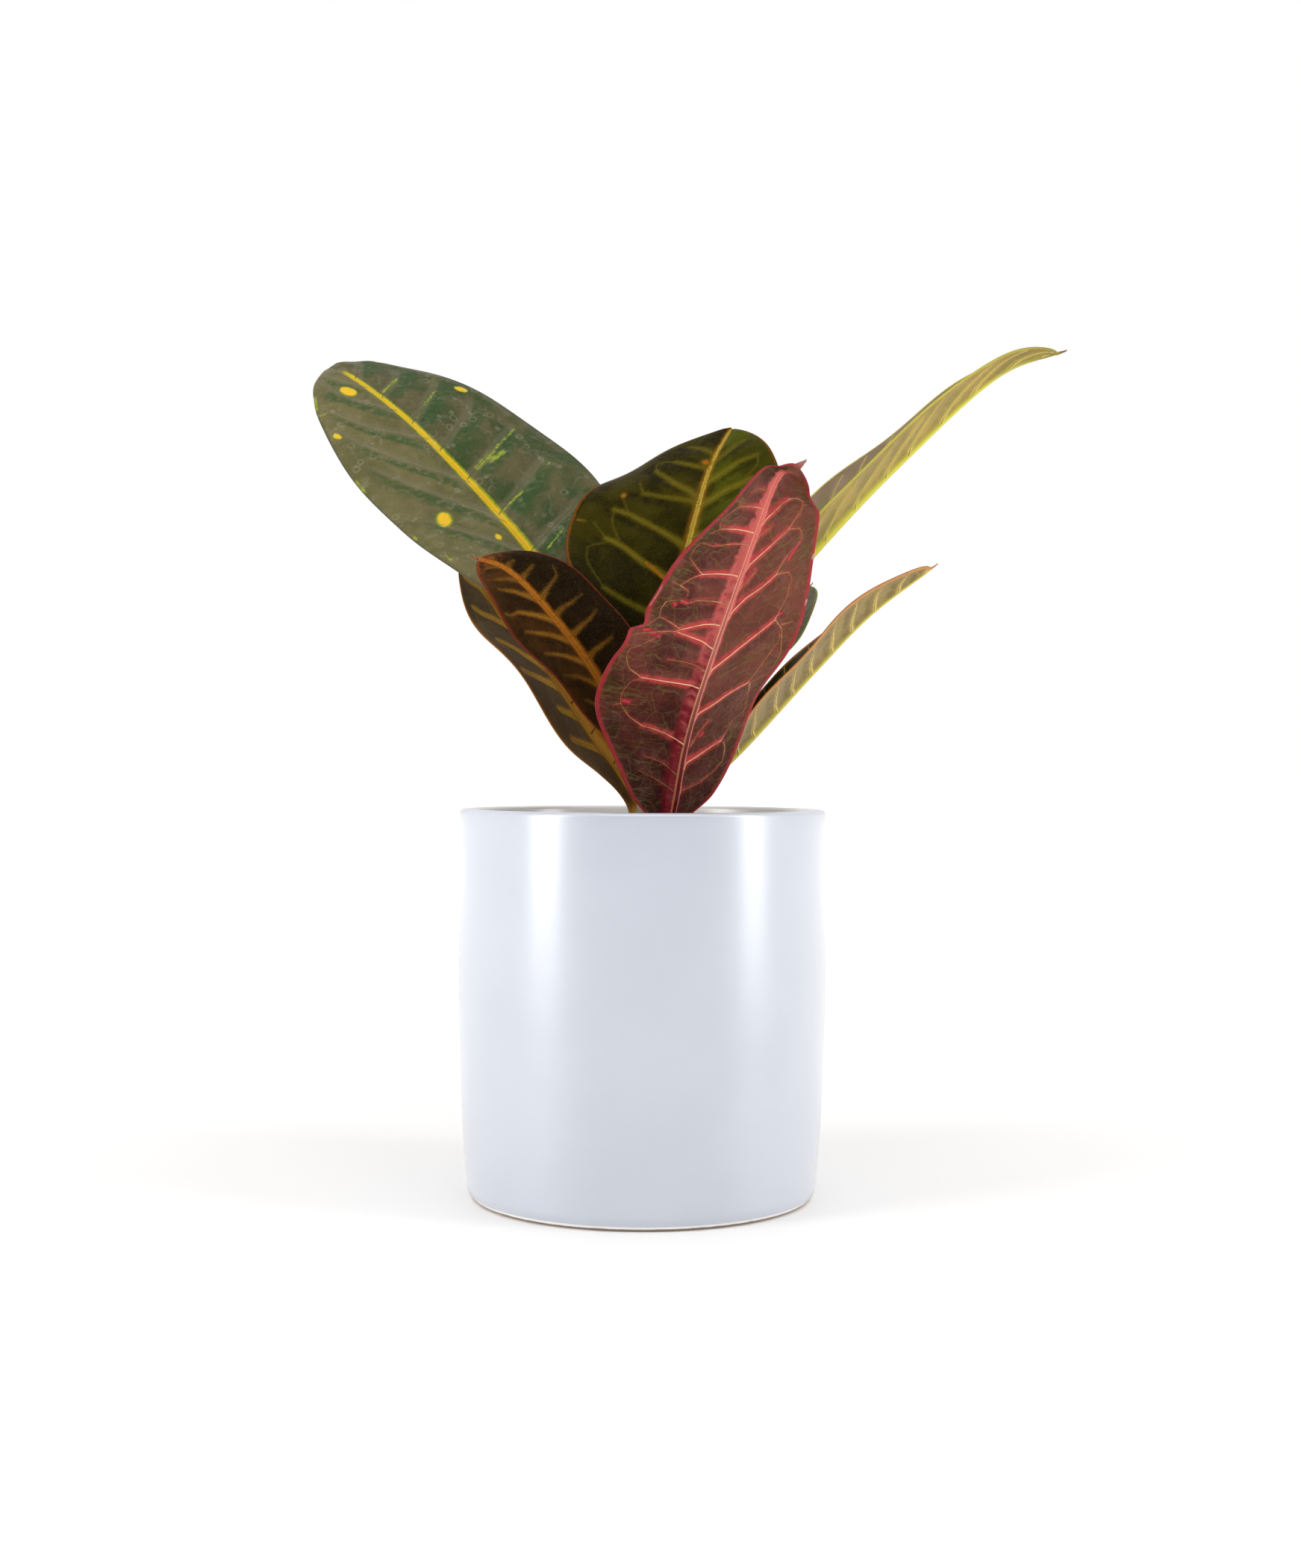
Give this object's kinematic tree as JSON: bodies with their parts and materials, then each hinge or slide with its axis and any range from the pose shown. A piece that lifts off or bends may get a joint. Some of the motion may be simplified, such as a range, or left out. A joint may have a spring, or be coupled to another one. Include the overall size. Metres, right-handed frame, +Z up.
{
  "type": "potted croton",
  "caption": "Young croton with broad, boldly veined, waved leaves on one upright stem, growing in a plain cylindrical ceramic pot filled with soil.",
  "frame": {"origin": "centre of the pot's flat foot, where it rests", "axes": "+Z up along the pot's axis; the plant's front, where the low red leaf stands, looks along -Y; +X to the right seen from the front"},
  "size_m": [0.2409, 0.1357, 0.2647],
  "materials": {
    "pot": "satin glazed ceramic",
    "soil": "matte, loose potting soil",
    "stem": "matte young bark",
    "leaf_left_large": "satin leaf",
    "leaf_middle_olive": "satin leaf",
    "leaf_front_red": "satin leaf",
    "leaf_left_small": "satin leaf",
    "leaf_left_low": "satin leaf",
    "leaf_right_long": "satin leaf",
    "leaf_right_low": "satin leaf",
    "leaf_right_back": "satin leaf",
    "leaf_back_low": "satin leaf",
    "leaf_young_front": "satin leaf",
    "leaf_young_back": "satin leaf"
  },
  "bodies": {
    "root": {"pot": "pot", "soil": "soil", "stem": "stem", "leaf_left_large": "leaf_left_large", "leaf_middle_olive": "leaf_middle_olive", "leaf_front_red": "leaf_front_red", "leaf_left_small": "leaf_left_small", "leaf_left_low": "leaf_left_low", "leaf_right_long": "leaf_right_long", "leaf_right_low": "leaf_right_low", "leaf_right_back": "leaf_right_back", "leaf_back_low": "leaf_back_low", "leaf_young_front": "leaf_young_front", "leaf_young_back": "leaf_young_back"}
  },
  "joints": []
}
